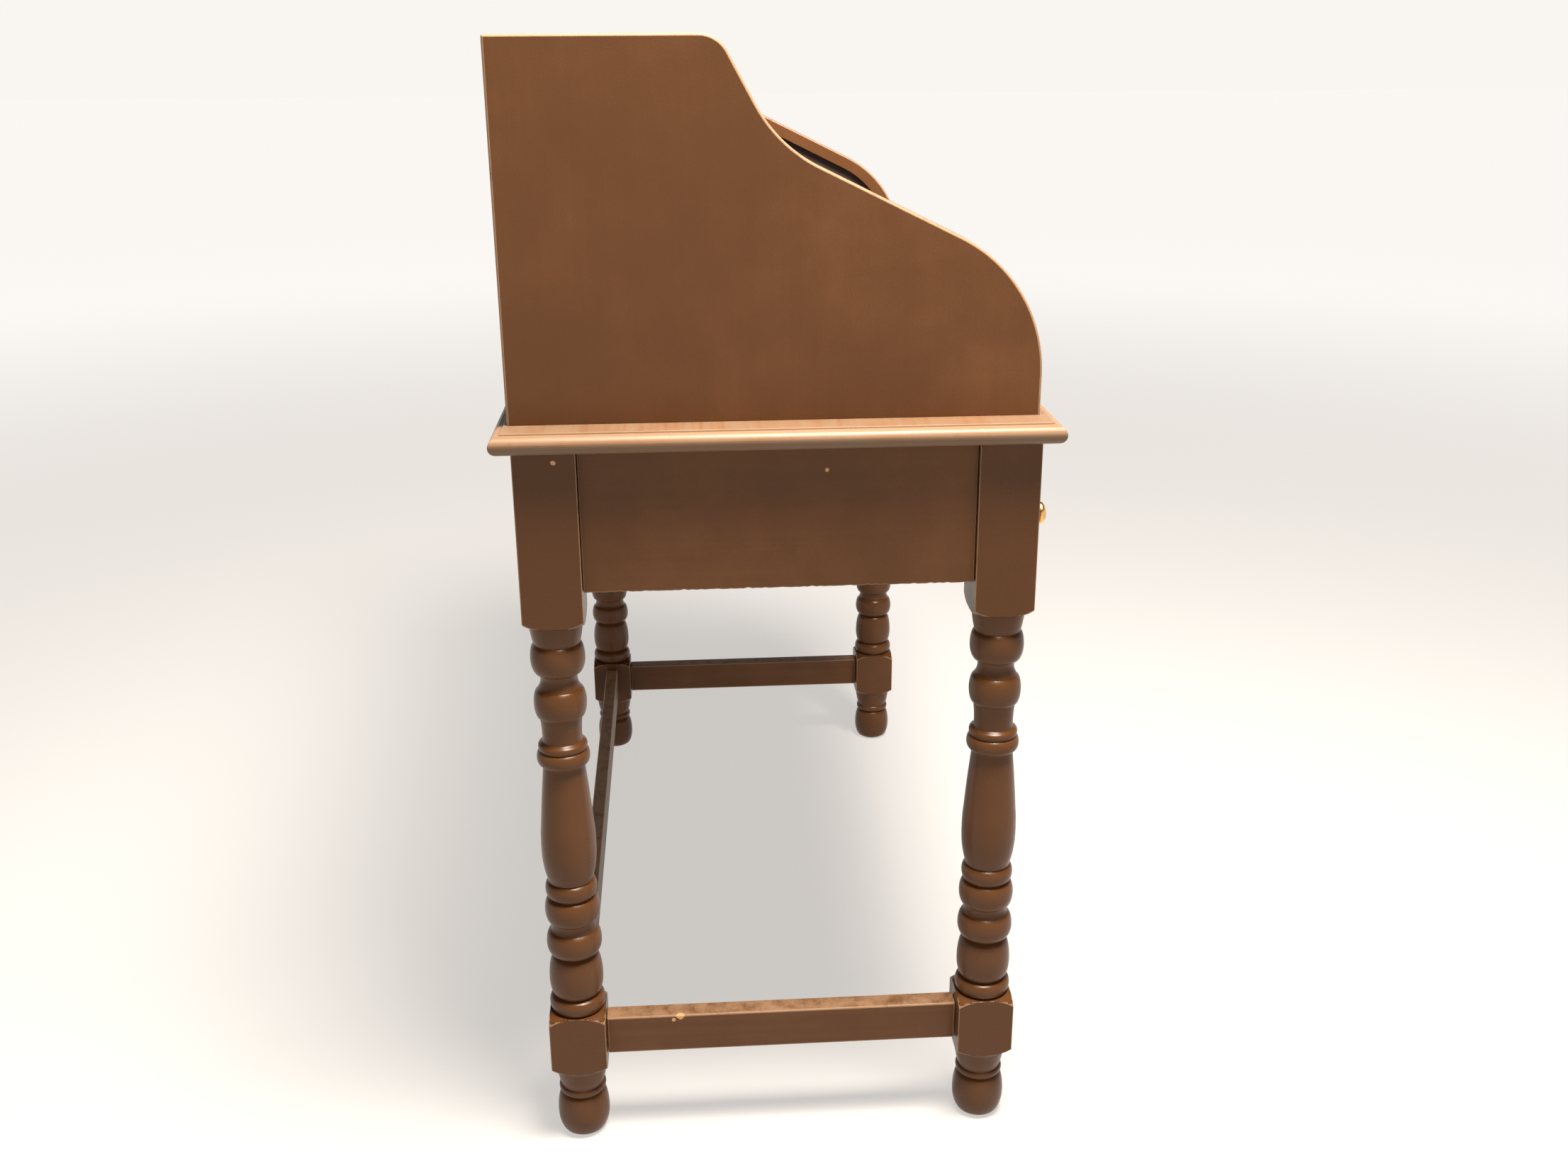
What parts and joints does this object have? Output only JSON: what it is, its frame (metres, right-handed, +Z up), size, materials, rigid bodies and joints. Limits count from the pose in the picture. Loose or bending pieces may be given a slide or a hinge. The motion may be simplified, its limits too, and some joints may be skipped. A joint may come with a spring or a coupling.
{
  "type": "roll top desk",
  "caption": "Roll top desk on turned legs with stretchers: S-sided case, slatted tambour rolled up over pigeonholes, and a long drawer with brass knobs.",
  "frame": {"origin": "on the floor, at the middle of the desk's bounding box", "axes": "+Z up, -Y towards the person sitting at the desk, +X to that person's right"},
  "size_m": [1.031, 0.5236, 1.088],
  "materials": {
    "painted_frame": "hand-applied satin brown paint over wood, rubbed on its edges",
    "painted_case": "hand-applied satin brown paint over wood, rubbed on its edges",
    "painted_drawer": "hand-applied satin brown paint over wood",
    "painted_tambour": "satin brown paint on slats over a dark cloth backing",
    "inner_wood": "stained wood, satin",
    "brass": "polished brass, slightly worn"
  },
  "bodies": {
    "desk": {"back_apron": "painted_frame", "back_stretcher": "painted_frame", "case_back": "painted_case", "case_top": "painted_case", "desk_top": "painted_frame", "drawer_kicker_left": "inner_wood", "drawer_kicker_right": "inner_wood", "drawer_runner_left": "inner_wood", "drawer_runner_right": "inner_wood", "front_bottom_rail": "painted_frame", "front_top_rail": "painted_frame", "leg_back_left": "painted_frame", "leg_back_right": "painted_frame", "leg_front_left": "painted_frame", "leg_front_right": "painted_frame", "nest_back": "inner_wood", "nest_divider_1": "inner_wood", "nest_divider_2": "inner_wood", "nest_divider_3": "inner_wood", "nest_divider_4": "inner_wood", "nest_end_left": "inner_wood", "nest_end_right": "inner_wood", "nest_shelf": "inner_wood", "nest_top": "inner_wood", "side_apron_left": "painted_frame", "side_apron_right": "painted_frame", "side_panel_left": "painted_case", "side_panel_right": "painted_case", "side_stretcher_left": "painted_frame", "side_stretcher_right": "painted_frame"},
    "drawer": {"drawer_back": "inner_wood", "drawer_bottom": "inner_wood", "drawer_front": "painted_drawer", "drawer_knob_left": "brass", "drawer_knob_right": "brass", "drawer_side_left": "inner_wood", "drawer_side_right": "inner_wood"},
    "lift_rail": {"lift_rail": "painted_tambour", "lift_pull_left": "brass", "lift_pull_right": "brass"},
    "slat_01": {"tambour_slat_01": "painted_tambour"},
    "slat_02": {"tambour_slat_02": "painted_tambour"},
    "slat_03": {"tambour_slat_03": "painted_tambour"},
    "slat_04": {"tambour_slat_04": "painted_tambour"},
    "slat_05": {"tambour_slat_05": "painted_tambour"},
    "slat_06": {"tambour_slat_06": "painted_tambour"},
    "slat_07": {"tambour_slat_07": "painted_tambour"},
    "slat_08": {"tambour_slat_08": "painted_tambour"},
    "slat_09": {"tambour_slat_09": "painted_tambour", "tambour_slat_10": "painted_tambour", "tambour_slat_11": "painted_tambour", "tambour_slat_12": "painted_tambour"},
    "slat_13": {"tambour_slat_13": "painted_tambour"},
    "slat_14": {"tambour_slat_14": "painted_tambour"},
    "slat_15": {"tambour_slat_15": "painted_tambour"},
    "slat_16": {"tambour_slat_16": "painted_tambour"},
    "slat_17": {"tambour_slat_17": "painted_tambour"}
  },
  "joints": [
    {"name": "drawer_slide", "type": "slide", "parent": "desk", "child": "drawer", "axis": [0, -1, 0], "range_m": [0, 0.3]},
    {"name": "tambour_roll", "type": "hinge", "parent": "desk", "child": "slat_07", "pos_m": [0, 0.0608, 0.83107], "axis": [1, 0, 0], "range_deg": [0, 100.61]},
    {"name": "lift_rail_hinge", "type": "hinge", "parent": "slat_01", "child": "lift_rail", "pos_m": [0, 0.05135, 1.02415], "axis": [1, 0, 0], "range_deg": [-9.75, 0]},
    {"name": "slat_01_hinge", "type": "hinge", "parent": "slat_02", "child": "slat_01", "pos_m": [0, 0.06907, 1.03719], "axis": [1, 0, 0], "range_deg": [-6.68, 0]},
    {"name": "slat_02_hinge", "type": "hinge", "parent": "slat_03", "child": "slat_02", "pos_m": [0, 0.08996, 1.04409], "axis": [1, 0, 0], "range_deg": [-4.52, 0]},
    {"name": "slat_03_hinge", "type": "hinge", "parent": "slat_04", "child": "slat_03", "pos_m": [0, 0.11194, 1.045], "axis": [1, 0, 0], "range_deg": [-2.18, 0]},
    {"name": "slat_04_hinge", "type": "hinge", "parent": "slat_05", "child": "slat_04", "pos_m": [0, 0.13352, 1.04072], "axis": [1, 0, 0], "range_deg": [-9.72, 0]},
    {"name": "slat_05_hinge", "type": "hinge", "parent": "slat_06", "child": "slat_05", "pos_m": [0, 0.1521, 1.02894], "axis": [1, 0, 0], "range_deg": [-10.87, 0]},
    {"name": "slat_06_hinge", "type": "hinge", "parent": "slat_07", "child": "slat_06", "pos_m": [0, 0.1652, 1.01126], "axis": [1, 0, 0], "range_deg": [-19.39, 0]},
    {"name": "slat_08_hinge", "type": "hinge", "parent": "slat_07", "child": "slat_08", "pos_m": [0, 0.17104, 0.99005], "axis": [1, 0, 0], "range_deg": [0, 14.84]},
    {"name": "slat_09_hinge", "type": "hinge", "parent": "slat_08", "child": "slat_09", "pos_m": [0, 0.17125, 0.96805], "axis": [1, 0, 0], "range_deg": [0, 0.5569]},
    {"name": "slat_13_hinge", "type": "hinge", "parent": "slat_09", "child": "slat_13", "pos_m": [0, 0.17125, 0.88005], "axis": [1, 0, 0], "range_deg": [0, 5.43]},
    {"name": "slat_14_hinge", "type": "hinge", "parent": "slat_13", "child": "slat_14", "pos_m": [0, 0.17125, 0.85805], "axis": [1, 0, 0], "range_deg": [0, 8.41]},
    {"name": "slat_15_hinge", "type": "hinge", "parent": "slat_14", "child": "slat_15", "pos_m": [0, 0.17125, 0.83605], "axis": [1, 0, 0], "range_deg": [0, 8.41]},
    {"name": "slat_16_hinge", "type": "hinge", "parent": "slat_15", "child": "slat_16", "pos_m": [0, 0.17125, 0.81405], "axis": [1, 0, 0], "range_deg": [0, 8.41]},
    {"name": "slat_17_hinge", "type": "hinge", "parent": "slat_16", "child": "slat_17", "pos_m": [0, 0.17125, 0.79205], "axis": [1, 0, 0], "range_deg": [-16.47, 0]}
  ],
  "couplings": [
    {"joint": "lift_rail_hinge", "follows": "tambour_roll", "ratio": -0.096926},
    {"joint": "slat_01_hinge", "follows": "tambour_roll", "ratio": -0.066365},
    {"joint": "slat_02_hinge", "follows": "tambour_roll", "ratio": -0.044922},
    {"joint": "slat_03_hinge", "follows": "tambour_roll", "ratio": -0.0216},
    {"joint": "slat_04_hinge", "follows": "tambour_roll", "ratio": -0.096639},
    {"joint": "slat_05_hinge", "follows": "tambour_roll", "ratio": -0.10801},
    {"joint": "slat_06_hinge", "follows": "tambour_roll", "ratio": -0.1927},
    {"joint": "slat_08_hinge", "follows": "tambour_roll", "ratio": 0.14749},
    {"joint": "slat_09_hinge", "follows": "tambour_roll", "ratio": 0.005515},
    {"joint": "slat_13_hinge", "follows": "tambour_roll", "ratio": 0.053933},
    {"joint": "slat_14_hinge", "follows": "tambour_roll", "ratio": 0.083602},
    {"joint": "slat_15_hinge", "follows": "tambour_roll", "ratio": 0.083602},
    {"joint": "slat_16_hinge", "follows": "tambour_roll", "ratio": 0.083602},
    {"joint": "slat_17_hinge", "follows": "tambour_roll", "ratio": -0.16367}
  ]
}
